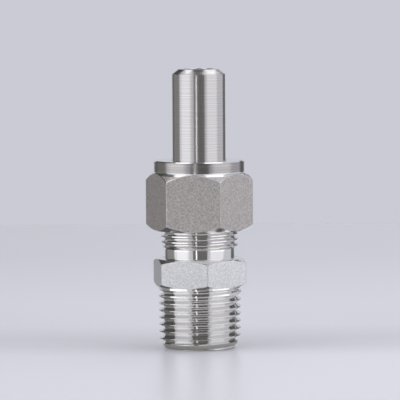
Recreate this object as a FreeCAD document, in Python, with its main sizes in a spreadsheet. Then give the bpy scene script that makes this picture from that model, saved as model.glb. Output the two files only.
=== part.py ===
# Male weld connector: a taper-threaded body, a union nut and a weld nipple.
# Millimetres. The body stands on its pipe end: z = 0 is that end face and +Z is the common axis.
import FreeCAD, Part
import os
import Sketcher

os.makedirs("parts", exist_ok=True)
doc = FreeCAD.newDocument("butt_weld_male_connector")

# Driving sizes, in millimetres and degrees
SIZES = [
    ("thread_angle", 60, "included angle of both threads"),
    ("pipe_end_length", 16.05, "pipe end, from its end face to the hexagon"),
    ("pipe_land_length", 0.65, "plain land between the pipe thread and the hexagon"),
    ("pipe_land_step", 0.13, "how far the land lies below the crests that run into it"),
    ("pipe_pitch", 1.8143, "pipe thread, 14 turns to the inch"),
    ("pipe_taper", 1.79, "half angle of the taper, 1 in 16 on diameter"),
    ("pipe_pitch_diameter", 19.264, "pitch diameter at the end face"),
    ("pipe_crest_height", 0.668, "crest above the pitch line"),
    ("pipe_root_depth", 0.668, "root below the pitch line"),
    ("pipe_root_flat", 0.12, "flat at the root of the pipe thread"),
    ("pipe_groove_start", 0.896, "height of the first full groove on the +X side"),
    ("pipe_tip_diameter", 17.7, "end face of the pipe end"),
    ("pipe_tip_angle", 30, "end chamfer, measured from the axis"),
    ("body_hex_flats", 22, "hexagon of the body, across flats"),
    ("body_hex_height", 7.15, "height of that hexagon"),
    ("body_hex_turn", 39.4, "turn of its first corner from +X"),
    ("body_hex_chamfer", 28, "corner chamfers of that hexagon, measured from the face"),
    ("hex_face_inset", 0.15, "chamfer circle inside the flats"),
    ("hex_corner_break", 0.05, "corner rounding, as turned off the points"),
    ("neck_diameter", 17.9, "thread relief above the hexagon"),
    ("neck_length", 2.6, "length of that relief"),
    ("union_diameter", 19.7, "crests of the parallel thread"),
    ("union_depth", 0.87, "depth of the parallel thread"),
    ("union_pitch", 1.5, "pitch of the parallel thread"),
    ("union_root_flat", 0.19, "flat at the root of the parallel thread"),
    ("union_groove_start", 1.3, "first groove above the hexagon on the +X side"),
    ("union_length", 14, "length of the parallel thread"),
    ("union_tip_chamfer", 0.9, "end chamfer of the parallel thread"),
    ("body_bore", 8, "flow bore of the body"),
    ("seat_half_angle", 30, "half angle of the conical seat"),
    ("seat_mouth", 14.6, "mouth of the seat in the top face"),
    ("seat_gap", 0.05, "gap left between the seating faces"),
    ("nose_radius", 7, "ball nose of the nipple"),
    ("nose_centre_depth", 5.15, "centre of the ball behind the nose face"),
    ("nose_length", 4.4, "nose face to the shoulder"),
    ("shoulder_diameter", 18, "shoulder that the nut pulls on"),
    ("shoulder_length", 2.9, "cylindrical part of the shoulder"),
    ("shoulder_angle", 45, "cone behind the shoulder"),
    ("stub_diameter", 13.7, "weld stub, outside"),
    ("nipple_bore", 7.7, "flow bore of the nipple"),
    ("nipple_length", 35.6, "whole nipple"),
    ("bevel_tip_diameter", 10.5, "outer edge of the face at the weld end"),
    ("bevel_angle", 37.5, "weld bevel, measured from the face"),
    ("nut_cover", 9.25, "thread covered by the tightened nut"),
    ("nut_hex_flats", 24, "hexagon of the nut, across flats"),
    ("nut_hex_height", 14.65, "height of that hexagon"),
    ("nut_hex_turn", 52.7, "turn of its first corner from +X"),
    ("nut_low_chamfer", 36, "lower corner chamfer, measured from the face"),
    ("nut_top_chamfer", 45, "upper corner chamfer, measured from the face"),
    ("nut_collar_diameter", 23.2, "round collar on top of the nut"),
    ("nut_collar_height", 3.2, "height of the collar"),
    ("nut_collar_chamfer", 0.3, "edge chamfer of the collar"),
    ("nut_thread_depth", 0.75, "crests of the nut's thread inside those of the body"),
    ("nut_mouth_gap", 0.3, "countersink of the nut outside the crests of the body"),
    ("thread_gap", 0.06, "gap between the flanks of nut and body"),
    ("nut_root_gap", 0.15, "gap over the crests of the body"),
    ("nut_relief_lead", 0.7, "relief of the nut above the end of the body"),
    ("nut_relief_length", 2, "length of the relief inside the nut"),
    ("nut_relief_gap", 0.35, "relief outside the crests of the body"),
    ("shoulder_gap", 0.25, "radial gap around the shoulder"),
    ("stub_gap", 0.25, "radial gap between nut and stub"),
    ("cut_overrun", 1, "how far a cutting tool runs past the work"),
    ("blank_phase", 0.25, "part of a turn past a groove at which a threaded blank ends"),
    ("tool_rise", 0.08, "how far a thread tool stands out of its groove"),
]

sheet = doc.addObject("Spreadsheet::Sheet", "Sizes")
for row, (alias, value, meaning) in enumerate(SIZES, start=1):
    sheet.set(f"A{row}", str(value))
    sheet.setAlias(f"A{row}", alias)
    sheet.set(f"B{row}", meaning)
doc.recompute()


def plane(body, role):
    return next(item for item in body.Origin.OriginFeatures if item.Role == role)


def new_body(label):
    body = doc.addObject("PartDesign::Body", label)
    body.Label = label
    return body


def new_sketch(body, name, role):
    sketch = body.newObject("Sketcher::SketchObject", name)
    sketch.AttachmentSupport = [(plane(body, role), "")]
    sketch.MapMode = "FlatFace"
    return sketch


def bind(sketch, kind, where, expression, name):
    """Add one dimension to a sketch and tie it to an expression on the sheet."""
    value = float(sheet.evalExpression(expression))
    index = sketch.addConstraint(Sketcher.Constraint(kind, *where, value))
    sketch.renameConstraint(index, name)
    sketch.setExpression(f"Constraints.{name}", expression)


def place(corner):
    """Sketch point of a corner that is given as (radius, height) expressions."""
    radius, height = (float(sheet.evalExpression(part)) for part in corner)
    return FreeCAD.Vector(radius, height, 0)


def outline(body, name, corners):
    """Closed outline in the XZ plane from (radius, height) expressions."""
    sketch = new_sketch(body, name, "XZ_Plane")
    places = [place(corner) for corner in corners]
    count = len(places)
    for index, start in enumerate(places):
        sketch.addGeometry(Part.LineSegment(start, places[(index + 1) % count]))
    for index in range(count):
        sketch.addConstraint(Sketcher.Constraint("Coincident", index, 2, (index + 1) % count, 1))
    for index, (radius, height) in enumerate(corners):
        bind(sketch, "DistanceX", (-1, 1, index, 1), radius, f"radius{index}")
        bind(sketch, "DistanceY", (-1, 1, index, 1), height, f"height{index}")
    return sketch


def turned(body, kind, name, sketch):
    """Revolve a sketch about the axis, to add (Revolution) or to remove (Groove)."""
    feature = body.newObject(f"PartDesign::{kind}", name)
    feature.Profile = sketch
    feature.ReferenceAxis = (sketch, ["V_Axis"])
    feature.Angle = 360
    doc.recompute()
    return feature


def screw_cut(body, name, sketch, pitch, turns, taper):
    """Cut a right-hand thread groove with the outline of a sketch."""
    feature = body.newObject("PartDesign::SubtractiveHelix", name)
    feature.Profile = sketch
    feature.ReferenceAxis = (sketch, ["V_Axis"])
    feature.Mode = "pitch-turns-angle"
    feature.setExpression("Pitch", pitch)
    feature.setExpression("Turns", turns)
    feature.setExpression("Angle", taper)
    doc.recompute()
    return feature


def hexagon_cut(body, name, flats, bottom, height, turn, reach):
    """Mill six flats on a turned blank: a ring with a hexagonal hole is taken away."""
    sketch = new_sketch(body, f"{name}Ring", "XY_Plane")
    sketch.setExpression("AttachmentOffset.Base.z", bottom)
    sketch.setExpression("AttachmentOffset.Rotation.Angle", f"{turn} * 1 deg")
    corner = f"{flats} / 2 / cos(30 deg)"
    size = float(sheet.evalExpression(corner))
    centre = FreeCAD.Vector(0, 0, 0)
    up = FreeCAD.Vector(0, 0, 1)
    points = [FreeCAD.Rotation(up, 60 * step).multVec(FreeCAD.Vector(size, 0, 0)) for step in range(6)]
    for step in range(6):
        sketch.addGeometry(Part.LineSegment(points[step], points[(step + 1) % 6]))
    guide = sketch.addGeometry(Part.Circle(centre, up, size), True)
    ring = sketch.addGeometry(Part.Circle(centre, up, float(sheet.evalExpression(reach))))
    for circle in (guide, ring):
        sketch.addConstraint(Sketcher.Constraint("Coincident", circle, 3, -1, 1))
    for step in range(6):
        sketch.addConstraint(Sketcher.Constraint("Coincident", step, 2, (step + 1) % 6, 1))
        sketch.addConstraint(Sketcher.Constraint("PointOnObject", step, 1, guide))
        if step:
            sketch.addConstraint(Sketcher.Constraint("Equal", 0, step))
    sketch.addConstraint(Sketcher.Constraint("PointOnObject", 0, 1, -1))
    bind(sketch, "Radius", (guide,), corner, "corner")
    bind(sketch, "Radius", (ring,), reach, "reach")
    feature = body.newObject("PartDesign::Pocket", name)
    feature.Profile = sketch
    feature.Reversed = True
    feature.setExpression("Length", height)
    doc.recompute()
    return feature


def must_cut(feature):
    """A cut that misses the work shows no error, so its volume is compared with the step before."""
    before = feature.BaseFeature.Shape.Volume
    if feature.Shape.isNull() or not 0 < feature.Shape.Volume < 0.9999 * before:
        raise RuntimeError(f"{feature.Name} removed nothing")


# Heights and radii that follow from the driving sizes
HALF_FLANK = "tan(Sizes.thread_angle / 2 * 1 deg)"
TAPER = "tan(Sizes.pipe_taper * 1 deg)"
HEX_BOTTOM = "Sizes.pipe_end_length"
HEX_TOP = f"({HEX_BOTTOM} + Sizes.body_hex_height)"
NECK_TOP = f"({HEX_TOP} + Sizes.neck_length)"
BODY_TOP = f"({NECK_TOP} + Sizes.union_length)"
LAND_START = "(Sizes.pipe_end_length - Sizes.pipe_land_length)"
CREST_AT_END = "(Sizes.pipe_pitch_diameter / 2 + Sizes.pipe_crest_height)"
LAND_RADIUS = f"({CREST_AT_END} + {LAND_START} * {TAPER} - Sizes.pipe_land_step)"
BODY_FACE = "(Sizes.body_hex_flats / 2 - Sizes.hex_face_inset)"
BODY_CORNER = "(Sizes.body_hex_flats / 2 / cos(30 deg) - Sizes.hex_corner_break)"
UNION_RADIUS = "(Sizes.union_diameter / 2)"
UNION_ROOT = f"({UNION_RADIUS} - Sizes.union_depth)"
UNION_START = f"({HEX_TOP} + Sizes.union_groove_start)"
SEAT_SLOPE = "tan(Sizes.seat_half_angle * 1 deg)"
NOSE_CENTRE = (f"({BODY_TOP} + ((Sizes.nose_radius + Sizes.seat_gap) / cos(Sizes.seat_half_angle * 1 deg)"
               f" - Sizes.seat_mouth / 2) / {SEAT_SLOPE})")
NIPPLE_BOTTOM = f"({NOSE_CENTRE} - Sizes.nose_centre_depth)"
NUT_BOTTOM = f"({BODY_TOP} - Sizes.nut_cover)"


# Connector body: the taper thread is cut on a plain cone that is longer than the finished pipe end,
# and the cone stops just above a groove
connector = new_body("connector_body")
PIPE_START = "(Sizes.pipe_groove_start - 2 * Sizes.pipe_pitch)"
PIPE_TURNS = (f"(ceil((Sizes.pipe_end_length + Sizes.cut_overrun / 2 - {PIPE_START}) / Sizes.pipe_pitch)"
              " + Sizes.blank_phase)")
CONE_TOP = f"({PIPE_START} + {PIPE_TURNS} * Sizes.pipe_pitch)"
blank = outline(connector, "PipeBlank", [
    ("0", "-Sizes.cut_overrun"),
    (f"{CREST_AT_END} - Sizes.cut_overrun * {TAPER}", "-Sizes.cut_overrun"),
    (f"{CREST_AT_END} + {CONE_TOP} * {TAPER}", CONE_TOP),
    ("0", CONE_TOP),
])
turned(connector, "Revolution", "PipeEnd", blank)

PIPE_ROOT = f"(Sizes.pipe_pitch_diameter / 2 - Sizes.pipe_root_depth + {PIPE_START} * {TAPER})"
PIPE_TOOL = "(Sizes.pipe_crest_height + Sizes.pipe_root_depth + Sizes.tool_rise)"
PIPE_HALF = f"(Sizes.pipe_root_flat / 2 + {PIPE_TOOL} * {HALF_FLANK})"
pipe_vee = outline(connector, "PipeVee", [
    (PIPE_ROOT, f"{PIPE_START} - Sizes.pipe_root_flat / 2"),
    (PIPE_ROOT, f"{PIPE_START} + Sizes.pipe_root_flat / 2"),
    (f"{PIPE_ROOT} + {PIPE_TOOL}", f"{PIPE_START} + {PIPE_HALF}"),
    (f"{PIPE_ROOT} + {PIPE_TOOL}", f"{PIPE_START} - {PIPE_HALF}"),
])
must_cut(screw_cut(connector, "PipeThread", pipe_vee, "Sizes.pipe_pitch", f"{PIPE_TURNS} + 1",
                   "Sizes.pipe_taper"))

CHAMFER_RISE = "tan(Sizes.pipe_tip_angle * 1 deg)"
pipe_trim = outline(connector, "PipeTrimOutline", [
    ("0", "-2 * Sizes.cut_overrun"),
    ("0", "0"),
    ("Sizes.pipe_tip_diameter / 2", "0"),
    (LAND_RADIUS, f"({LAND_RADIUS} - Sizes.pipe_tip_diameter / 2) / {CHAMFER_RISE}"),
    (LAND_RADIUS, f"{CONE_TOP} + Sizes.cut_overrun"),
    (f"{LAND_RADIUS} + 2 * Sizes.cut_overrun", f"{CONE_TOP} + Sizes.cut_overrun"),
    (f"{LAND_RADIUS} + 2 * Sizes.cut_overrun", "-2 * Sizes.cut_overrun"),
])
must_cut(turned(connector, "Groove", "PipeTrim", pipe_trim))

UNION_TURNS = f"(ceil(({BODY_TOP} - {UNION_START}) / Sizes.union_pitch) + Sizes.blank_phase)"
BLANK_TOP = f"({UNION_START} + {UNION_TURNS} * Sizes.union_pitch)"
HEX_RISE = "tan(Sizes.body_hex_chamfer * 1 deg)"
upper = outline(connector, "UpperOutline", [
    ("0", LAND_START),
    (LAND_RADIUS, LAND_START),
    (LAND_RADIUS, HEX_BOTTOM),
    (BODY_FACE, HEX_BOTTOM),
    (BODY_CORNER, f"{HEX_BOTTOM} + ({BODY_CORNER} - {BODY_FACE}) * {HEX_RISE}"),
    (BODY_CORNER, f"{HEX_TOP} - ({BODY_CORNER} - {BODY_FACE}) * {HEX_RISE}"),
    (BODY_FACE, HEX_TOP),
    ("Sizes.neck_diameter / 2", HEX_TOP),
    ("Sizes.neck_diameter / 2", NECK_TOP),
    (UNION_RADIUS, NECK_TOP),
    (UNION_RADIUS, BLANK_TOP),
    ("0", BLANK_TOP),
])
turned(connector, "Revolution", "UpperBody", upper)

UNION_TOOL = "(Sizes.union_depth + Sizes.tool_rise)"
UNION_HALF = f"(Sizes.union_root_flat / 2 + {UNION_TOOL} * {HALF_FLANK})"
union_vee = outline(connector, "UnionVee", [
    (UNION_ROOT, f"{UNION_START} - Sizes.union_root_flat / 2"),
    (UNION_ROOT, f"{UNION_START} + Sizes.union_root_flat / 2"),
    (f"{UNION_ROOT} + {UNION_TOOL}", f"{UNION_START} + {UNION_HALF}"),
    (f"{UNION_ROOT} + {UNION_TOOL}", f"{UNION_START} - {UNION_HALF}"),
])
must_cut(screw_cut(connector, "UnionThread", union_vee, "Sizes.union_pitch", f"{UNION_TURNS} + 1", "0"))

must_cut(hexagon_cut(connector, "BodyHexagon", "Sizes.body_hex_flats", HEX_BOTTOM, "Sizes.body_hex_height",
                     "Sizes.body_hex_turn", f"{BODY_CORNER} + Sizes.cut_overrun"))

union_trim = outline(connector, "UnionTrimOutline", [
    ("0", BODY_TOP),
    (f"{UNION_RADIUS} - Sizes.union_tip_chamfer", BODY_TOP),
    (f"{UNION_RADIUS} + Sizes.cut_overrun", f"{BODY_TOP} - Sizes.union_tip_chamfer - Sizes.cut_overrun"),
    (f"{UNION_RADIUS} + Sizes.cut_overrun", f"{BLANK_TOP} + Sizes.cut_overrun"),
    ("0", f"{BLANK_TOP} + Sizes.cut_overrun"),
])
must_cut(turned(connector, "Groove", "UnionTrim", union_trim))

way = outline(connector, "FlowWay", [
    ("0", "0"),
    ("Sizes.body_bore / 2", "0"),
    ("Sizes.body_bore / 2", f"{BODY_TOP} - (Sizes.seat_mouth - Sizes.body_bore) / 2 / {SEAT_SLOPE}"),
    ("Sizes.seat_mouth / 2", BODY_TOP),
    ("0", BODY_TOP),
])
must_cut(turned(connector, "Groove", "BoreAndSeat", way))


# Weld nipple: ball nose, shoulder, back cone and a plain stub with a weld bevel
nipple = new_body("weld_nipple")
nipple.setExpression("Placement.Base.z", NIPPLE_BOTTOM)
SHOULDER_END = "(Sizes.nose_length + Sizes.shoulder_length)"
BACK_RISE = "tan(Sizes.shoulder_angle * 1 deg)"
NOSE_FACE = "sqrt(Sizes.nose_radius^2 - Sizes.nose_centre_depth^2)"
NOSE_BACK = "sqrt(Sizes.nose_radius^2 - (Sizes.nose_centre_depth - Sizes.nose_length)^2)"
turned_outline = [
    (NOSE_BACK, "Sizes.nose_length"),
    ("Sizes.shoulder_diameter / 2", "Sizes.nose_length"),
    ("Sizes.shoulder_diameter / 2", SHOULDER_END),
    ("Sizes.stub_diameter / 2",
     f"{SHOULDER_END} + (Sizes.shoulder_diameter - Sizes.stub_diameter) / 2 * {BACK_RISE}"),
    ("Sizes.stub_diameter / 2",
     "Sizes.nipple_length - (Sizes.stub_diameter - Sizes.bevel_tip_diameter) / 2"
     " * tan(Sizes.bevel_angle * 1 deg)"),
    ("Sizes.bevel_tip_diameter / 2", "Sizes.nipple_length"),
    ("Sizes.nipple_bore / 2", "Sizes.nipple_length"),
    ("Sizes.nipple_bore / 2", "0"),
    (NOSE_FACE, "0"),
]
section = new_sketch(nipple, "NippleOutline", "XZ_Plane")
places = [place(corner) for corner in turned_outline]
for start, end in zip(places, places[1:]):
    section.addGeometry(Part.LineSegment(start, end))
ball_height = float(sheet.evalExpression("Sizes.nose_centre_depth"))
ball_radius = float(sheet.evalExpression("Sizes.nose_radius"))
ball = Part.Circle(FreeCAD.Vector(0, ball_height, 0), FreeCAD.Vector(0, 0, 1), ball_radius)
arc = section.addGeometry(Part.ArcOfCircle(ball, ball.parameter(places[-1]), ball.parameter(places[0])))
for index in range(len(places) - 2):
    section.addConstraint(Sketcher.Constraint("Coincident", index, 2, index + 1, 1))
section.addConstraint(Sketcher.Constraint("Coincident", len(places) - 2, 2, arc, 1))
section.addConstraint(Sketcher.Constraint("Coincident", arc, 2, 0, 1))
section.addConstraint(Sketcher.Constraint("PointOnObject", arc, 3, -2))
bind(section, "DistanceY", (-1, 1, arc, 3), "Sizes.nose_centre_depth", "centre")
bind(section, "Radius", (arc,), "Sizes.nose_radius", "ball")
bind(section, "DistanceY", (-1, 1, arc, 2), "Sizes.nose_length", "nose")
section.addConstraint(Sketcher.Constraint("PointOnObject", arc, 1, -1))
for index, (radius, height) in enumerate(turned_outline[1:-1], start=1):
    bind(section, "DistanceX", (-1, 1, index, 1), radius, f"radius{index}")
    bind(section, "DistanceY", (-1, 1, index, 1), height, f"height{index}")
turned(nipple, "Revolution", "NippleTurned", section)


# Union nut: hexagon with a round collar, threaded inside, with a cone that pulls on the shoulder
nut = new_body("union_nut")
nut.setExpression("Placement.Base.z", NUT_BOTTOM)
NUT_FACE = "(Sizes.nut_hex_flats / 2 - Sizes.hex_face_inset)"
NUT_CORNER = "(Sizes.nut_hex_flats / 2 / cos(30 deg) - Sizes.hex_corner_break)"
NUT_TOP_FACE = "(Sizes.nut_hex_flats / 2)"
NUT_HEIGHT = "(Sizes.nut_hex_height + Sizes.nut_collar_height)"
COLLAR_RADIUS = "Sizes.nut_collar_diameter / 2"
RELIEF_START = "(Sizes.nut_cover + Sizes.nut_relief_lead)"
RELIEF_END = f"({RELIEF_START} + Sizes.nut_relief_length)"
RELIEF_RADIUS = f"({UNION_RADIUS} + Sizes.nut_relief_gap)"
GUIDE_RADIUS = "(Sizes.shoulder_diameter / 2 + Sizes.shoulder_gap)"
STUB_HOLE = "(Sizes.stub_diameter / 2 + Sizes.stub_gap)"
NUT_CREST = f"({UNION_RADIUS} - Sizes.nut_thread_depth)"
NUT_MOUTH = f"({UNION_RADIUS} + Sizes.nut_mouth_gap)"
CONE_EDGE = (f"({NIPPLE_BOTTOM} + {SHOULDER_END} - {NUT_BOTTOM}"
             " + Sizes.seat_gap / cos(Sizes.shoulder_angle * 1 deg))")
CONE_START = f"({CONE_EDGE} - Sizes.shoulder_gap * {BACK_RISE})"
CONE_END = f"({CONE_EDGE} + (Sizes.shoulder_diameter / 2 - {STUB_HOLE}) * {BACK_RISE})"
nut_section = outline(nut, "NutOutline", [
    (NUT_MOUTH, "0"),
    (NUT_FACE, "0"),
    (NUT_CORNER, f"({NUT_CORNER} - {NUT_FACE}) * tan(Sizes.nut_low_chamfer * 1 deg)"),
    (NUT_CORNER,
     f"Sizes.nut_hex_height - ({NUT_CORNER} - {NUT_TOP_FACE}) * tan(Sizes.nut_top_chamfer * 1 deg)"),
    (NUT_TOP_FACE, "Sizes.nut_hex_height"),
    (COLLAR_RADIUS, "Sizes.nut_hex_height"),
    (COLLAR_RADIUS, f"{NUT_HEIGHT} - Sizes.nut_collar_chamfer"),
    (f"{COLLAR_RADIUS} - Sizes.nut_collar_chamfer", NUT_HEIGHT),
    (STUB_HOLE, NUT_HEIGHT),
    (STUB_HOLE, CONE_END),
    (GUIDE_RADIUS, CONE_START),
    (GUIDE_RADIUS, RELIEF_END),
    (RELIEF_RADIUS, RELIEF_END),
    (RELIEF_RADIUS, RELIEF_START),
    (NUT_CREST, RELIEF_START),
    (NUT_CREST, f"{NUT_MOUTH} - {NUT_CREST}"),
])
turned(nut, "Revolution", "NutTurned", nut_section)

# The nut's groove runs around the ridge of the body, so it is half a pitch from the body's groove
NUT_RIDGE = ("(Sizes.union_pitch / 2 - Sizes.union_root_flat / 2"
             " + Sizes.thread_gap / cos(Sizes.thread_angle / 2 * 1 deg))")
NUT_ROOT = f"({UNION_RADIUS} + Sizes.nut_root_gap)"
NUT_TOOL_FACE = f"({NUT_CREST} - Sizes.tool_rise)"
NUT_START = (f"(-mod({NUT_BOTTOM} - {UNION_START} - Sizes.union_pitch / 2; Sizes.union_pitch)"
             " - Sizes.union_pitch)")
nut_vee = outline(nut, "NutVee", [
    (NUT_TOOL_FACE, f"{NUT_START} - {NUT_RIDGE} + ({NUT_TOOL_FACE} - {UNION_ROOT}) * {HALF_FLANK}"),
    (NUT_ROOT, f"{NUT_START} - {NUT_RIDGE} + ({NUT_ROOT} - {UNION_ROOT}) * {HALF_FLANK}"),
    (NUT_ROOT, f"{NUT_START} + {NUT_RIDGE} - ({NUT_ROOT} - {UNION_ROOT}) * {HALF_FLANK}"),
    (NUT_TOOL_FACE, f"{NUT_START} + {NUT_RIDGE} - ({NUT_TOOL_FACE} - {UNION_ROOT}) * {HALF_FLANK}"),
])
nut_thread = screw_cut(
    nut, "NutThread", nut_vee, "Sizes.union_pitch",
    f"({RELIEF_START} + Sizes.nut_relief_length / 2 - {NUT_START}) / Sizes.union_pitch",
    "0",
)
must_cut(nut_thread)

must_cut(hexagon_cut(nut, "NutHexagon", "Sizes.nut_hex_flats", "0", "Sizes.nut_hex_height",
                     "Sizes.nut_hex_turn", f"{NUT_CORNER} + Sizes.cut_overrun"))

doc.recompute()
for item in doc.Objects:
    if "Invalid" in item.State or "Error" in item.State:
        raise RuntimeError(f"{item.Name} failed: {item.State}")
for body in (connector, nut, nipple):
    shape = body.Shape
    if shape.isNull() or not shape.isValid() or len(shape.Solids) != 1:
        raise RuntimeError(f"{body.Label} is not one valid solid")
    print(body.Label, "volume", round(shape.Volume, 1), "mm3")
for body in (connector, nut, nipple):
    body.Shape.exportStep(f"parts/{body.Label}.step")
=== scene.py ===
import math
import bpy
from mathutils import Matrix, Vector


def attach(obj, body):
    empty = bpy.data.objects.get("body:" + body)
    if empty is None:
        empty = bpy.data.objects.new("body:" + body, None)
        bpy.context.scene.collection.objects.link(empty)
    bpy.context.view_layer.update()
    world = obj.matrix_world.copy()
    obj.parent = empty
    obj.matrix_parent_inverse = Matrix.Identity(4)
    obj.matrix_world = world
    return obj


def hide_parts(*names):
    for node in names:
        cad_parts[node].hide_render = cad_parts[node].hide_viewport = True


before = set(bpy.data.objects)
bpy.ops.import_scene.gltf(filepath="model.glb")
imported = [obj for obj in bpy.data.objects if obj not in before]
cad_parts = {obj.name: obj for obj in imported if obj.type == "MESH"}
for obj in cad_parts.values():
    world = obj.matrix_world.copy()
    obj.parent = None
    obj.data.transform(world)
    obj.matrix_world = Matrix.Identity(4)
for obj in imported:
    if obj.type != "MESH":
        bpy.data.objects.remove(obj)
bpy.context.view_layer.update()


# Connector body. One stainless bar, turned on a lathe: a taper pipe thread below, a milled hexagon,
# a relief neck and a parallel thread for the nut, with a straight bore that opens in a cone on top.
# Sizes are in millimetres. The turn of a hexagon is in degrees, other angles around a piece in radians.
MM = 0.001
FULL_TURN = 2 * math.pi
FLANK = math.tan(math.radians(30))
TAPER = math.tan(math.radians(1.79))
CREST_ROUND = 0.06

PIPE_PITCH = 1.8143
PIPE_GROOVE = 0.896
PIPE_CREST = 10.30
PIPE_ROOT = 8.964
PIPE_ROOT_FLAT = 0.06
PIPE_TIP = 8.85
PIPE_TIP_SLOPE = math.tan(math.radians(30))
END_FACE_INSET = 0.6
LAND = 10.65
LAND_BREAK = 0.05
FADE_FROM, FADE_TO = 14.0, 16.2
HEX_LOW, HEX_HIGH = 16.05, 23.2
HEX_FACE, HEX_FLAT, HEX_CORNER = 10.85, 11.0, 12.652
HEX_CHAMFER = math.tan(math.radians(28))
HEX_TURN = 39.4
NECK, NECK_TOP = 8.95, 25.8
NECK_FILLET, NECK_FILLET_MIDDLE = 0.4, 0.12
NECK_EDGE = 0.05
UNION_PITCH = 1.5
UNION_GROOVE = 24.5
UNION_CREST, UNION_ROOT, UNION_ROOT_FLAT = 9.85, 8.98, 0.095
THREAD_REACH = UNION_ROOT - 0.1
RUNOUT_STEP = 0.15
BODY_TOP = 39.8
TIP_CHAMFER = 0.9
BODY_BORE, BORE_CHAMFER = 4.0, 0.25
SEAT_MOUTH, SEAT_BREAK = 7.3, 0.1
SEAT_SLOPE = math.tan(math.radians(30))


def soft_min(first, second, round_off):
    """The smaller of two radii, with the corner between them rounded."""
    blend = max(round_off - abs(first - second), 0) / round_off
    return min(first, second) - blend * blend * round_off / 4


def from_groove(height, angle, pitch, start):
    """Distance along the axis to the middle of the nearest groove, and the height of that middle."""
    turns = (height - start) / pitch - angle / FULL_TURN
    nearest = round(turns)
    return abs(turns - nearest) * pitch, start + (nearest + angle / FULL_TURN) * pitch


def screw_heights(angle, low, high, pitch, start, steps):
    """Heights that follow the thread around the piece, held between its two ends."""
    first = math.floor((low - start) / pitch) - 1
    last = math.ceil((high - start) / pitch) + 1
    heights = []
    for turn in range(first, last):
        for step in steps:
            height = start + (turn + angle / FULL_TURN) * pitch + step
            heights.append(min(max(height, low), high))
    return heights


def mirrored_steps(half, pitch):
    """Steps over one pitch from those of half a groove."""
    return half + [pitch - step for step in reversed(half[1:-1])]


def pipe_radius(height, angle):
    distance, middle = from_groove(height, angle, PIPE_PITCH, PIPE_GROOVE)
    surface = min(PIPE_CREST + height * TAPER, LAND)
    fade = max(middle - FADE_FROM, 0) / (FADE_TO - FADE_FROM)
    depth = (surface - PIPE_ROOT - height * TAPER) * max(1 - fade * fade, 0)
    groove = surface - depth + max(distance - PIPE_ROOT_FLAT, 0) / FLANK
    cone = PIPE_TIP + height * PIPE_TIP_SLOPE
    return min(soft_min(surface, groove, CREST_ROUND), cone)


def union_radius(height, angle):
    distance, _ = from_groove(height, angle, UNION_PITCH, UNION_GROOVE)
    groove = UNION_ROOT + max(distance - UNION_ROOT_FLAT, 0) / FLANK
    upper_cone = UNION_CREST + BODY_TOP - TIP_CHAMFER - height
    lower_cone = UNION_ROOT + RUNOUT_STEP + height - NECK_TOP
    return min(soft_min(UNION_CREST, groove, CREST_ROUND), upper_cone, lower_cone)


def hexagon_radius(angle, flat, corner, turn):
    """Radius of a hexagon with broken corners."""
    sector = math.radians(60)
    off_flat = (angle - math.radians(turn)) % sector - sector / 2
    return min(flat / math.cos(off_flat), corner)


SIDE_STEPS = 30


def hexagon_angles(flat, corner, turn):
    """Angles around a piece, with one on each side of every broken corner."""
    edge = math.degrees(math.acos(flat / corner))
    inner = [-edge + 2 * edge * step / SIDE_STEPS for step in range(SIDE_STEPS + 1)]
    angles = []
    for side in range(6):
        for off_middle in [-30] + inner:
            angles.append(math.radians((turn + 60 * side + 30 + off_middle) % 360))
    return angles


# Heights over half a turn of thread, from the middle of the groove, close together at root and crest
PIPE_HALF = [0, 0.04, 0.08, 0.27, 0.46, 0.63, 0.73, 0.79, 0.84, PIPE_PITCH / 2]
PIPE_STEPS = mirrored_steps(PIPE_HALF, PIPE_PITCH)
UNION_HALF = [0, 0.07, 0.12, 0.26, 0.40, 0.54, 0.58, 0.62, UNION_PITCH / 2]
UNION_STEPS = mirrored_steps(UNION_HALF, UNION_PITCH)


def body_section(angle):
    hexagon = hexagon_radius(angle, HEX_FLAT, HEX_CORNER, HEX_TURN)
    rise = (hexagon - HEX_FACE) * HEX_CHAMFER
    points = [(BODY_BORE, BORE_CHAMFER), (BODY_BORE + BORE_CHAMFER, 0), (PIPE_TIP - END_FACE_INSET, 0)]
    for height in screw_heights(angle, 0, HEX_LOW, PIPE_PITCH, PIPE_GROOVE, PIPE_STEPS):
        points.append((pipe_radius(height, angle), height))
    points += [(LAND + LAND_BREAK, HEX_LOW + LAND_BREAK)]
    points += [(hexagon, HEX_LOW + rise), (hexagon, HEX_HIGH - rise), (HEX_FACE, HEX_HIGH)]
    points += [(NECK + NECK_FILLET, HEX_HIGH), (NECK + NECK_FILLET_MIDDLE, HEX_HIGH + NECK_FILLET_MIDDLE)]
    points += [(NECK, HEX_HIGH + NECK_FILLET), (NECK, NECK_TOP - NECK_EDGE)]
    for height in screw_heights(angle, NECK_TOP, BODY_TOP, UNION_PITCH, UNION_GROOVE, UNION_STEPS):
        points.append((union_radius(height, angle), height))
    seat_depth = (SEAT_MOUTH - BODY_BORE) / SEAT_SLOPE
    points += [(SEAT_MOUTH + SEAT_BREAK, BODY_TOP), (SEAT_MOUTH, BODY_TOP - SEAT_BREAK)]
    points += [(BODY_BORE, BODY_TOP - seat_depth)]
    return points


MERGE_GAP = 0.000002
SPECK = 0.000001
SMOOTH_BELOW = math.radians(24)


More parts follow.
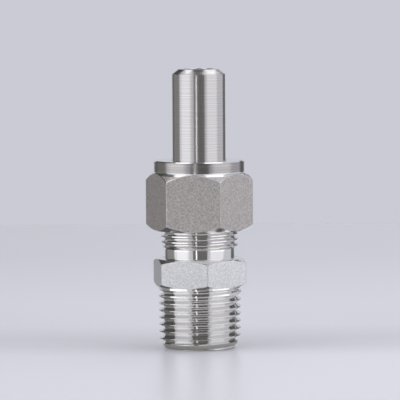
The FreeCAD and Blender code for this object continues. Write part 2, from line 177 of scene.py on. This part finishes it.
def wrap(name, angles, section):
    """Wrap a closed section around the axis, starting from a flat grid whose two ends meet."""
    angles = sorted(angles)
    angles.append(angles[0] + FULL_TURN)
    loops = [section(angle) for angle in angles]
    bpy.ops.object.select_all(action="DESELECT")
    bpy.ops.mesh.primitive_grid_add(x_subdivisions=len(loops[0]), y_subdivisions=len(angles) - 1, size=1)
    piece = bpy.context.object
    piece.name = name
    places = []
    for angle, loop in zip(angles, loops):
        for radius, height in loop + loop[:1]:
            places += [radius * MM * math.cos(angle), radius * MM * math.sin(angle), height * MM]
    piece.data.vertices.foreach_set("co", places)
    bpy.ops.object.mode_set(mode="EDIT")
    bpy.ops.mesh.select_all(action="SELECT")
    bpy.ops.mesh.remove_doubles(threshold=MERGE_GAP)
    bpy.ops.mesh.dissolve_degenerate(threshold=SPECK)
    bpy.ops.mesh.normals_make_consistent(inside=False)
    bpy.ops.object.mode_set(mode="OBJECT")
    return piece


def new_node(tree, kind, x, y, **settings):
    node = tree.nodes.new(kind)
    node.location = (x, y)
    for key, value in settings.items():
        setattr(node, key, value)
    return node


# Lathe tools leave fine rings: around a cylinder they follow the height, across an end face the radius
rings = bpy.data.node_groups.new("turning_rings", "ShaderNodeTree")
rings.interface.new_socket("Rings per metre", in_out="INPUT", socket_type="NodeSocketFloat")
rings.interface.new_socket("Streaks per metre", in_out="INPUT", socket_type="NodeSocketFloat")
rings.interface.new_socket("Height", in_out="OUTPUT", socket_type="NodeSocketFloat")
rings.interface.new_socket("Streaks", in_out="OUTPUT", socket_type="NodeSocketFloat")
ring_in = new_node(rings, "NodeGroupInput", -900, -200)
ring_out = new_node(rings, "NodeGroupOutput", 500, 0)
ring_place = new_node(rings, "ShaderNodeTexCoord", -900, 100)
ring_flat = new_node(rings, "ShaderNodeVectorMath", -700, 200, operation="MULTIPLY")
ring_flat.inputs[1].default_value = (1, 1, 0)
ring_radius = new_node(rings, "ShaderNodeVectorMath", -500, 200, operation="LENGTH")
ring_split = new_node(rings, "ShaderNodeSeparateXYZ", -700, 0)
ring_along = new_node(rings, "ShaderNodeMath", -300, 100, operation="ADD")
ring_fine = new_node(rings, "ShaderNodeMath", -100, 150, operation="MULTIPLY")
ring_broad = new_node(rings, "ShaderNodeMath", -100, -50, operation="MULTIPLY")
ring_noise = new_node(rings, "ShaderNodeTexNoise", 100, 150, noise_dimensions="1D")
ring_noise.inputs["Scale"].default_value = 1
ring_noise.inputs["Detail"].default_value = 2
streak_noise = new_node(rings, "ShaderNodeTexNoise", 100, -100, noise_dimensions="1D")
streak_noise.inputs["Scale"].default_value = 1
streak_noise.inputs["Detail"].default_value = 3
rings.links.new(ring_place.outputs["Object"], ring_flat.inputs[0])
rings.links.new(ring_flat.outputs["Vector"], ring_radius.inputs[0])
rings.links.new(ring_place.outputs["Object"], ring_split.inputs[0])
rings.links.new(ring_radius.outputs["Value"], ring_along.inputs[0])
rings.links.new(ring_split.outputs["Z"], ring_along.inputs[1])
rings.links.new(ring_along.outputs[0], ring_fine.inputs[0])
rings.links.new(ring_in.outputs["Rings per metre"], ring_fine.inputs[1])
rings.links.new(ring_along.outputs[0], ring_broad.inputs[0])
rings.links.new(ring_in.outputs["Streaks per metre"], ring_broad.inputs[1])
rings.links.new(ring_fine.outputs[0], ring_noise.inputs["W"])
rings.links.new(ring_broad.outputs[0], streak_noise.inputs["W"])
rings.links.new(ring_noise.outputs[0], ring_out.inputs["Height"])
rings.links.new(streak_noise.outputs[0], ring_out.inputs["Streaks"])

# Fine pits all over, as blasting or scale leaves on a drawn hexagon bar
grain = bpy.data.node_groups.new("metal_grain", "ShaderNodeTree")
grain.interface.new_socket("Grains per metre", in_out="INPUT", socket_type="NodeSocketFloat")
grain.interface.new_socket("Height", in_out="OUTPUT", socket_type="NodeSocketFloat")
grain_in = new_node(grain, "NodeGroupInput", -600, 0)
grain_out = new_node(grain, "NodeGroupOutput", 300, 0)
grain_place = new_node(grain, "ShaderNodeTexCoord", -600, 200)
grain_noise = new_node(grain, "ShaderNodeTexNoise", -200, 150)
grain_noise.inputs["Detail"].default_value = 4
grain_noise.inputs["Roughness"].default_value = 0.7
grain.links.new(grain_place.outputs["Object"], grain_noise.inputs["Vector"])
grain.links.new(grain_in.outputs["Grains per metre"], grain_noise.inputs["Scale"])
grain.links.new(grain_noise.outputs[0], grain_out.inputs["Height"])


EFFECT_LOW, EFFECT_HIGH = 0.3, 0.7


def new_steel(name, dark, bright, roughness, brushed, bump, group, settings, shade_from):
    """A steel whose colour and roughness follow one output of an effect, and its relief the height."""
    steel = bpy.data.materials.new(name)
    steel.use_nodes = True
    tree = steel.node_tree
    shader = tree.nodes["Principled BSDF"]
    shader.inputs["Metallic"].default_value = 1
    shader.inputs["Anisotropic"].default_value = brushed
    shader.inputs["Anisotropic Rotation"].default_value = 0.25
    effect = new_node(tree, "ShaderNodeGroup", -900, 0, node_tree=group)
    for socket, value in settings.items():
        effect.inputs[socket].default_value = value
    colour = new_node(tree, "ShaderNodeValToRGB", -600, 200)
    colour.color_ramp.elements[0].position = EFFECT_LOW
    colour.color_ramp.elements[0].color = (*dark, 1)
    colour.color_ramp.elements[1].position = EFFECT_HIGH
    colour.color_ramp.elements[1].color = (*bright, 1)
    dull = new_node(tree, "ShaderNodeMapRange", -600, -50)
    dull.inputs["From Min"].default_value = EFFECT_LOW
    dull.inputs["From Max"].default_value = EFFECT_HIGH
    dull.inputs["To Min"].default_value = roughness[0]
    dull.inputs["To Max"].default_value = roughness[1]
    relief = new_node(tree, "ShaderNodeBump", -300, -300)
    relief.inputs["Strength"].default_value = 1
    relief.inputs["Distance"].default_value = bump
    tree.links.new(effect.outputs[shade_from], colour.inputs["Fac"])
    tree.links.new(effect.outputs[shade_from], dull.inputs["Value"])
    tree.links.new(effect.outputs["Height"], relief.inputs["Height"])
    tree.links.new(colour.outputs["Color"], shader.inputs["Base Color"])
    tree.links.new(dull.outputs["Result"], shader.inputs["Roughness"])
    tree.links.new(relief.outputs["Normal"], shader.inputs["Normal"])
    return steel


FINE_CUT = {"Rings per metre": 7000, "Streaks per metre": 3500}
BLASTED = {"Grains per metre": 2500}
bright_steel = new_steel(
    "bright_steel", dark=(0.822, 0.812, 0.792), bright=(0.912, 0.902, 0.88), roughness=(0.09, 0.13),
    brushed=0.3, bump=0.0008 * MM, group=rings, settings=FINE_CUT, shade_from="Streaks")
satin_steel = new_steel(
    "satin_steel", dark=(0.52, 0.52, 0.52), bright=(0.92, 0.92, 0.90), roughness=(0.38, 0.44),
    brushed=0, bump=0.004 * MM, group=grain, settings=BLASTED, shade_from="Height")


UPRIGHT = 0.1


def reach_of(face):
    """How far the middle of a face is from the axis, in millimetres."""
    return math.hypot(face.center.x, face.center.y) / MM


def give_finish(piece, turned, milled, low, high, inside):
    """The milled flats of a hexagon get one finish and everything that was turned gets the other."""
    piece.data.materials.append(turned)
    piece.data.materials.append(milled)
    for face in piece.data.polygons:
        upright = abs(face.normal.z) < UPRIGHT
        if upright and low < face.center.z / MM < high and reach_of(face) > inside:
            face.material_index = 1


connector = wrap("body_turned", hexagon_angles(HEX_FLAT, HEX_CORNER, HEX_TURN), body_section)
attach(connector, "body")
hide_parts("connector_body")
give_finish(connector, bright_steel, satin_steel, HEX_LOW, HEX_HIGH, HEX_FACE)
# The parallel thread is a little rougher, and its darker colour is painted shade for the nut's shadow on it
thread_steel_painted_shade = new_steel(
    "thread_steel_painted_shade", dark=(0.73, 0.718, 0.70), bright=(0.82, 0.807, 0.789), roughness=(0.11, 0.15),
    brushed=0.3, bump=0.001 * MM, group=rings, settings=FINE_CUT, shade_from="Streaks")
connector.data.materials.append(thread_steel_painted_shade)
for face in connector.data.polygons:
    if reach_of(face) > THREAD_REACH and face.center.z / MM > NECK_TOP:
        face.material_index = 2
bpy.ops.object.shade_smooth_by_angle(angle=SMOOTH_BELOW)


# Union nut. One stainless piece from a hexagon bar: a thread inside, a cone that pulls on the
# nipple's shoulder, and a round collar turned on top. Its flats keep the matt skin of the bar.
NUT_LOW = 30.55
NUT_HEX_HIGH = 45.2
NUT_TOP = 48.4
NUT_FACE, NUT_FLAT, NUT_CORNER = 11.85, 12.0, 13.806
NUT_CHAMFER = math.tan(math.radians(36))
NUT_TURN = 52.7
NUT_CONE_TOP = NUT_HEX_HIGH - 0.02
NUT_POLISH, NUT_ARRIS = 0.42, 0.09
CONE_TILT_LOW, CONE_TILT_HIGH = 0.6, 0.8
COLLAR, COLLAR_CHAMFER = 11.6, 0.25
COLLAR_REACH = COLLAR - 0.2
FILLET_DEGREES = range(10, 91, 16)
STUB_HOLE, HOLE_BREAK = 7.1, 0.15
CONE_LOW, CONE_HIGH = 43.227, 45.377
GUIDE, RELIEF = 9.25, 10.2
RELIEF_LOW, RELIEF_HIGH = 40.5, 42.5
NUT_CREST, NUT_ROOT = 9.1, 10.0
NUT_MOUTH, MOUTH_EDGE = 10.15, 0.1
THREAD_PLAY = 0.069
NUT_HALF_RIDGE = UNION_PITCH / 2 - UNION_ROOT_FLAT + THREAD_PLAY
NUT_GROOVE = UNION_GROOVE + UNION_PITCH / 2
NUT_HALF = [0, 0.08, 0.13, 0.26, 0.38, 0.50, 0.60, 0.66, UNION_PITCH / 2]
NUT_STEPS = mirrored_steps(NUT_HALF, UNION_PITCH)


def nut_thread_radius(height, angle):
    distance, _ = from_groove(height, angle, UNION_PITCH, NUT_GROOVE)
    groove = min(UNION_ROOT + (NUT_HALF_RIDGE - distance) / FLANK, NUT_ROOT)
    mouth = NUT_MOUTH - (height - NUT_LOW)
    return max(NUT_CREST, groove, mouth)


def nut_section(angle):
    hexagon = hexagon_radius(angle, NUT_FLAT, NUT_CORNER, NUT_TURN)
    low_rise = (hexagon - NUT_FACE) * NUT_CHAMFER
    top_rise = hexagon - NUT_FLAT
    arris = min(NUT_ARRIS, top_rise)
    polished = min(NUT_POLISH, top_rise - arris)
    fillet = NUT_FLAT - COLLAR
    points = [(NUT_MOUTH + MOUTH_EDGE, NUT_LOW), (NUT_FACE, NUT_LOW), (hexagon, NUT_LOW + low_rise)]
    points += [(hexagon, NUT_CONE_TOP - top_rise - arris)]
    points += [(hexagon - arris, NUT_CONE_TOP - top_rise + arris)]
    points += [(NUT_FLAT + polished, NUT_CONE_TOP - polished), (NUT_FLAT, NUT_CONE_TOP)]
    for degrees in FILLET_DEGREES:
        turn = math.radians(degrees)
        points.append((NUT_FLAT - fillet * math.sin(turn), NUT_HEX_HIGH + fillet * (1 - math.cos(turn))))
    points += [(COLLAR, NUT_TOP - COLLAR_CHAMFER), (COLLAR - COLLAR_CHAMFER, NUT_TOP)]
    points += [(STUB_HOLE + HOLE_BREAK, NUT_TOP), (STUB_HOLE, NUT_TOP - HOLE_BREAK), (STUB_HOLE, CONE_HIGH)]
    points += [(GUIDE, CONE_LOW), (GUIDE, RELIEF_HIGH), (RELIEF, RELIEF_HIGH), (RELIEF, RELIEF_LOW)]
    heights = screw_heights(angle, NUT_LOW, RELIEF_LOW, UNION_PITCH, NUT_GROOVE, NUT_STEPS)
    points += [(nut_thread_radius(height, angle), height) for height in reversed(heights)]
    return points


nut = wrap("nut_turned", hexagon_angles(NUT_FLAT, NUT_CORNER, NUT_TURN), nut_section)
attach(nut, "nut")
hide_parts("union_nut")
blasted_steel = new_steel(
    "blasted_steel", dark=(0.375, 0.352, 0.334), bright=(0.815, 0.765, 0.725), roughness=(0.46, 0.54),
    brushed=0, bump=0.006 * MM, group=grain, settings=BLASTED, shade_from="Height")
collar_steel = new_steel(
    "collar_steel", dark=(0.44, 0.42, 0.40), bright=(0.55, 0.53, 0.51), roughness=(0.20, 0.26),
    brushed=0.3, bump=0.002 * MM, group=rings,
    settings={"Rings per metre": 6000, "Streaks per metre": 3500}, shade_from="Streaks")
give_finish(nut, bright_steel, blasted_steel, NUT_LOW, NUT_HEX_HIGH, NUT_FACE)
nut.data.materials.append(collar_steel)
for face in nut.data.polygons:
    above_hexagon = face.center.z / MM > NUT_HEX_HIGH
    on_cone = CONE_TILT_LOW < face.normal.z < CONE_TILT_HIGH
    if abs(face.normal.z) < UPRIGHT and above_hexagon and reach_of(face) > COLLAR_REACH:
        face.material_index = 2
    if on_cone and not above_hexagon and reach_of(face) > NUT_FLAT + NUT_POLISH:
        face.material_index = 1
bpy.ops.object.shade_smooth_by_angle(angle=SMOOTH_BELOW)


# Weld nipple. One turned piece: a ball nose that seals in the body, a shoulder that the nut pulls
# on, and a plain stub as thick as the pipe, bevelled at the top for the weld.
NOSE_CENTRE = 41.256
NOSE_RADIUS = 7.0
NOSE_FACE_HEIGHT = 36.106
SHOULDER_LOW, SHOULDER_HIGH = 40.506, 43.406
SHOULDER = 9.0
SHOULDER_BREAK = 0.15
STUB, STUB_BREAK = 6.85, 0.1
STUB_START = SHOULDER_HIGH + SHOULDER - STUB
NIPPLE_BORE, BORE_BREAK = 3.85, 0.12
WELD_TIP, WELD_TIP_BREAK, WELD_TIP_DROP = 5.25, 0.05, 0.035
BEVEL_SLOPE = math.tan(math.radians(37.5))
BEVEL_EDGE_BELOW, BEVEL_EDGE_ABOVE, BEVEL_EDGE_INSET = 0.06, 0.02, 0.03
NIPPLE_TOP = 71.706
BALL_STEPS, ROUND_STEPS = 16, 180


def nipple_section(angle):
    bevel_foot = NIPPLE_TOP - (STUB - WELD_TIP) * BEVEL_SLOPE
    points = [(NIPPLE_BORE, NIPPLE_TOP - BORE_BREAK), (NIPPLE_BORE, NOSE_FACE_HEIGHT + SHOULDER_BREAK)]
    points += [(NIPPLE_BORE + SHOULDER_BREAK, NOSE_FACE_HEIGHT)]
    for step in range(BALL_STEPS + 1):
        height = NOSE_FACE_HEIGHT + (SHOULDER_LOW - NOSE_FACE_HEIGHT) * step / BALL_STEPS
        points.append((math.sqrt(NOSE_RADIUS ** 2 - (NOSE_CENTRE - height) ** 2), height))
    points += [(SHOULDER - SHOULDER_BREAK, SHOULDER_LOW), (SHOULDER, SHOULDER_LOW + SHOULDER_BREAK)]
    points += [(SHOULDER, SHOULDER_HIGH), (STUB + STUB_BREAK, STUB_START - STUB_BREAK)]
    points += [(STUB, STUB_START + SHOULDER_BREAK), (STUB, bevel_foot - BEVEL_EDGE_BELOW)]
    points += [(STUB - BEVEL_EDGE_INSET, bevel_foot + BEVEL_EDGE_ABOVE)]
    points += [(WELD_TIP + WELD_TIP_BREAK, NIPPLE_TOP - WELD_TIP_DROP)]
    points += [(WELD_TIP - WELD_TIP_BREAK, NIPPLE_TOP)]
    points += [(NIPPLE_BORE + BORE_BREAK, NIPPLE_TOP)]
    return points


turned_steel = new_steel(
    "turned_steel", dark=(0.625, 0.607, 0.587), bright=(0.83, 0.805, 0.78), roughness=(0.15, 0.22),
    brushed=0.4, bump=0.0016 * MM, group=rings,
    settings={"Rings per metre": 7000, "Streaks per metre": 5500}, shade_from="Streaks")
nipple_angles = [FULL_TURN * step / ROUND_STEPS for step in range(ROUND_STEPS)]
nipple = wrap("nipple_turned", nipple_angles, nipple_section)
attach(nipple, "nipple")
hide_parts("weld_nipple")
nipple.data.materials.append(turned_steel)
bpy.ops.object.shade_smooth_by_angle(angle=SMOOTH_BELOW)


# Studio. A pale floor in a plain pale surround, as in a photographer's tent. Soft boxes stand at both
# sides, in front and overhead, and dark cards fill the gaps between them. The camera sees none of
# these, only their reflections in the metal. Sizes and places here are in metres.
def new_plain(name, colour, rough):
    plain = bpy.data.materials.new(name)
    plain.use_nodes = True
    shader = plain.node_tree.nodes["Principled BSDF"]
    shader.inputs["Base Color"].default_value = (*colour, 1)
    shader.inputs["Roughness"].default_value = rough
    return plain


def make_one_sided(paint):
    """Leave a paint clear when it is seen from behind."""
    tree = paint.node_tree
    side = new_node(tree, "ShaderNodeNewGeometry", -300, 400)
    clear = new_node(tree, "ShaderNodeBsdfTransparent", -300, -300)
    mix = new_node(tree, "ShaderNodeMixShader", 300, 0)
    tree.links.new(side.outputs["Backfacing"], mix.inputs["Fac"])
    tree.links.new(tree.nodes["Principled BSDF"].outputs[0], mix.inputs[1])
    tree.links.new(clear.outputs[0], mix.inputs[2])
    tree.links.new(mix.outputs[0], tree.nodes["Material Output"].inputs["Surface"])


FLOOR_ROUGHNESS = 0.3
FLOOR_NEAR, FLOOR_FAR = -0.3, 0.3
FLOOR_FRONT, FLOOR_FRONT_COLOUR = 0.27, (0.81, 0.815, 0.89)
# Painted shade behind the floor's front colour, by place between FLOOR_NEAR and FLOOR_FAR: darkest just
# behind the part
FLOOR_PAINTED_SHADE = ((0.47, 0.80), (0.51, 0.69), (0.54, 0.66), (0.59, 0.74), (0.7, 0.75), (0.95, 0.68))

floor_paint = new_plain("floor_paint", FLOOR_FRONT_COLOUR, FLOOR_ROUGHNESS)
tree = floor_paint.node_tree
floor_place = new_node(tree, "ShaderNodeTexCoord", -1000, 0)
floor_split = new_node(tree, "ShaderNodeSeparateXYZ", -800, 100)
floor_depth = new_node(tree, "ShaderNodeMapRange", -600, 100)
floor_depth.inputs["From Min"].default_value = FLOOR_NEAR
floor_depth.inputs["From Max"].default_value = FLOOR_FAR
# The floor's colour follows its depth, with painted shade behind its front colour
floor_ramp = new_node(tree, "ShaderNodeValToRGB", -350, 100)
floor_ramp.color_ramp.elements[0].position = FLOOR_FRONT
floor_ramp.color_ramp.elements[0].color = (*FLOOR_FRONT_COLOUR, 1)
floor_ramp.color_ramp.elements.remove(floor_ramp.color_ramp.elements[1])
for place, shade in FLOOR_PAINTED_SHADE:
    stop = floor_ramp.color_ramp.elements.new(place)
    stop.color = (shade, shade * 1.01, shade * 1.11, 1)
tree.links.new(floor_place.outputs["Object"], floor_split.inputs[0])
tree.links.new(floor_split.outputs["Y"], floor_depth.inputs["Value"])
tree.links.new(floor_depth.outputs["Result"], floor_ramp.inputs["Fac"])
tree.links.new(floor_ramp.outputs["Color"], tree.nodes["Principled BSDF"].inputs["Base Color"])
make_one_sided(floor_paint)
front_paint = new_plain("floor_front_paint", FLOOR_FRONT_COLOUR, FLOOR_ROUGHNESS)
make_one_sided(front_paint)

# The middle stretch takes light and shadow. The others only carry it on to the edges of the view.
for name, place, size, paint in (
    ("floor", (0, 0.135, 0), (0.26, 0.53, 1), floor_paint),
    ("floor_wing_left", (-0.53, 0.135, 0), (0.8, 0.53, 1), floor_paint),
    ("floor_wing_right", (0.53, 0.135, 0), (0.8, 0.53, 1), floor_paint),
    ("floor_wing_front", (0, -0.63, 0), (1.86, 1.0, 1), front_paint),
):
    bpy.ops.object.select_all(action="DESELECT")
    bpy.ops.mesh.primitive_plane_add(size=1)
    stretch = bpy.context.object
    stretch.name = name
    stretch.scale = size
    stretch.location = place
    bpy.ops.object.transform_apply(location=True, rotation=True, scale=True)
    stretch.data.materials.append(paint)
    if name != "floor":
        stretch.visible_diffuse = False
        stretch.visible_glossy = False
        stretch.visible_shadow = False

SURROUND_LIGHT = 0.96
SURROUND_COLOUR = (0.59, 0.597, 0.66)
world = bpy.data.worlds.new("studio")
bpy.context.scene.world = world
world.use_nodes = True
tree = world.node_tree
tree.nodes.clear()
world_out = new_node(tree, "ShaderNodeOutputWorld", 400, 0)
world_mix = new_node(tree, "ShaderNodeMixShader", 200, 0)
world_light = new_node(tree, "ShaderNodeBackground", 0, -100)
world_light.inputs["Color"].default_value = (1, 1, 1, 1)
world_light.inputs["Strength"].default_value = SURROUND_LIGHT
world_view = new_node(tree, "ShaderNodeBackground", 0, 100)
world_view.inputs["Color"].default_value = (*SURROUND_COLOUR, 1)
world_path = new_node(tree, "ShaderNodeLightPath", -400, 300)
path_gloss = new_node(tree, "ShaderNodeMath", -200, 300, operation="MAXIMUM")
path_glass = new_node(tree, "ShaderNodeMath", 0, 300, operation="MAXIMUM")
tree.links.new(world_path.outputs["Is Camera Ray"], path_gloss.inputs[0])
tree.links.new(world_path.outputs["Is Glossy Ray"], path_gloss.inputs[1])
tree.links.new(path_gloss.outputs[0], path_glass.inputs[0])
tree.links.new(world_path.outputs["Is Transmission Ray"], path_glass.inputs[1])
tree.links.new(path_glass.outputs[0], world_mix.inputs["Fac"])
tree.links.new(world_light.outputs[0], world_mix.inputs[1])
tree.links.new(world_view.outputs[0], world_mix.inputs[2])
tree.links.new(world_mix.outputs[0], world_out.inputs["Surface"])


def around(azimuth, distance, height):
    """A place around the object: 0 degrees is the camera's side and 90 degrees is +X."""
    turn = math.radians(azimuth)
    return Vector((distance * math.sin(turn), -distance * math.cos(turn), height))


def face_axis(azimuths, heights, distance):
    """Place, turn and size of an upright rectangle that faces the axis between two azimuths."""
    first, last = azimuths
    low, high = heights
    place = around((first + last) / 2, distance, (low + high) / 2)
    turn = Vector((-place.x, -place.y, 0)).to_track_quat("-Z", "Y").to_euler()
    return place, turn, 2 * distance * math.tan(math.radians(last - first) / 2), high - low


def soft_box(name, place, turn, width, tall, strength):
    data = bpy.data.lights.new(name, "AREA")
    data.shape = "RECTANGLE"
    data.size = width
    data.size_y = tall
    data.energy = strength * math.pi * width * tall
    lamp = bpy.data.objects.new(name, data)
    bpy.context.collection.objects.link(lamp)
    lamp.location = place
    lamp.rotation_euler = turn
    lamp.visible_camera = False


def plain_card(name, place, turn, width, tall, paint):
    bpy.ops.object.select_all(action="DESELECT")
    bpy.ops.mesh.primitive_plane_add(size=1, location=place, rotation=turn)
    card = bpy.context.object
    card.name = name
    card.scale = (width, tall, 1)
    bpy.ops.object.transform_apply(location=True, rotation=True, scale=True)
    card.data.materials.append(paint)
    card.visible_camera = False


# Upright boxes by azimuths in degrees, heights, distance and strength. The low ones reach below the
# floor, because the camera looks down and its reflections in upright metal go down too.
for name, azimuths, heights, distance, strength in (
    ("left_panel", (-92, -34), (-0.4, 0.9), 0.70, 0.20),
    ("left_core", (-80, -40), (-0.4, 0.9), 0.68, 0.20),
    ("left_low_panel", (-90, -36), (-0.4, -0.021), 0.66, 0.8),
    ("right_panel", (36, 86), (-0.4, 0.9), 0.70, 0.28),
    ("right_low_panel", (36, 90), (-0.4, -0.021), 0.66, 0.75),
    ("front_strip", (-11.4, -9.4), (-0.3, 0.7), 1.25, 2.8),
):
    soft_box(name, *face_axis(azimuths, heights, distance), strength)

CEILING = 0.95
LEVEL = (0, 0, 0)
for name, x_range, y_range, strength in (
    ("top_left_near", (-0.70, -0.20), (-0.30, 0.20), 0.7),
    ("top_left_middle", (-0.50, -0.22), (0.20, 0.45), 0.18),
    ("top_left_far", (-0.335, -0.165), (0.45, 0.95), 0.8),
    ("top_right_near", (0.12, 0.80), (-0.30, 0.20), 0.75),
    ("top_right_middle", (0.20, 0.50), (0.20, 0.45), 0.45),
    ("top_right_far", (0.15, 0.45), (0.45, 1.25), 0.7),
):
    place = Vector((sum(x_range) / 2, sum(y_range) / 2, CEILING))
    soft_box(name, place, LEVEL, x_range[1] - x_range[0], y_range[1] - y_range[0], strength)

CARD_ROUGHNESS = 0.8
dark_paint = new_plain("dark_card_paint", (0.15, 0.15, 0.15), CARD_ROUGHNESS)
black_paint = new_plain("black_card_paint", (0.06, 0.06, 0.06), CARD_ROUGHNESS)
grey_paint = new_plain("grey_card_paint", (0.27, 0.265, 0.26), CARD_ROUGHNESS)
for name, azimuths, heights, distance, paint in (
    ("front_card", (-22, 26), (-0.5, 1.1), 1.4, dark_paint),
    ("left_card", (-157, -92), (-0.5, 0.5), 1.4, grey_paint),
    ("left_high_card", (-176, -92), (0.52, 1.38), 1.42, black_paint),
    ("left_edge_card", (-150, -136), (-0.5, 0.5), 1.3, dark_paint),
    ("right_card", (127, 158), (-0.5, 0.3), 1.4, dark_paint),
    ("right_high_card", (150, 163.5), (0.42, 0.90), 1.4, dark_paint),
):
    plain_card(name, *face_axis(azimuths, heights, distance), paint)
plain_card("top_left_card", Vector((-0.68, 0.5, 0.97)), LEVEL, 0.34, 0.55, dark_paint)
plain_card("top_card", Vector((-0.015, 0.45, 1.0)), LEVEL, 0.27, 1.2, dark_paint)


def keep_for_reflections(card):
    card.visible_camera = False
    card.visible_diffuse = False
    card.visible_shadow = False


# Painted shade around the foot, met only by reflections seen from above: a grey ring, as the floor's shade
# below the chamfer at the foot, and dark cards, as the shade that the threads look down at twice over. From
# below they are clear, so that the floor keeps its even colour. The corners are in millimetres.
foot_shade_paint = new_plain("foot_shade_card_paint", (0.09, 0.09, 0.09), CARD_ROUGHNESS)
make_one_sided(foot_shade_paint)
foot_ring_shade_paint = new_plain("foot_ring_shade_paint", (0.42, 0.42, 0.42), CARD_ROUGHNESS)
make_one_sided(foot_ring_shade_paint)
RING_STEPS, RING_RADIUS = 96, 11.6 * MM
RING_HEIGHT, CARD_HEIGHT = 0.2 * MM, 0.3 * MM
bpy.ops.object.select_all(action="DESELECT")
bpy.ops.mesh.primitive_circle_add(
    vertices=RING_STEPS, radius=RING_RADIUS, fill_type="NGON", location=(0, 0, RING_HEIGHT))
foot_ring = bpy.context.object
foot_ring.name = "foot_ring"
foot_ring.data.materials.append(foot_ring_shade_paint)
keep_for_reflections(foot_ring)
for name, corners in (
    ("foot_card_front", ((-19, -36), (21, -36), (-2.6, -11.2), (2.9, -11.2))),
    ("foot_card_left", ((-80, -4), (-11.4, -6), (-80, 60), (-11.4, 60))),
    ("foot_card_right", ((11.4, -4), (70, 20), (11.4, 60), (70, 60))),
):
    bpy.ops.object.select_all(action="DESELECT")
    bpy.ops.mesh.primitive_plane_add(size=1)
    card = bpy.context.object
    card.name = name
    for vertex, corner in zip(card.data.vertices, corners):
        vertex.co = (corner[0] * MM, corner[1] * MM, CARD_HEIGHT)
    card.data.materials.append(foot_shade_paint)
    keep_for_reflections(card)

# A long lens a metre away, a little above the part and leaning a third of a degree to the side
AIM = Vector((0.00018, 0, 0.0381))
ELEVATION = math.radians(4.2)
DISTANCE = 1.0
LEAN = math.radians(0.34)
HALF_FRAME = 200
PIXELS_PER_METRE = 3900
camera_data = bpy.data.cameras.new("camera")
camera_data.angle = 2 * math.atan(HALF_FRAME / PIXELS_PER_METRE / DISTANCE)
camera = bpy.data.objects.new("camera", camera_data)
bpy.context.collection.objects.link(camera)
camera.location = AIM + Vector((0, -DISTANCE * math.cos(ELEVATION), DISTANCE * math.sin(ELEVATION)))
camera.rotation_euler = (AIM - camera.location).to_track_quat("-Z", "Y").to_euler()
camera.rotation_euler.rotate_axis("Z", -LEAN)
bpy.context.scene.camera = camera

bpy.context.scene.view_settings.view_transform = "Standard"
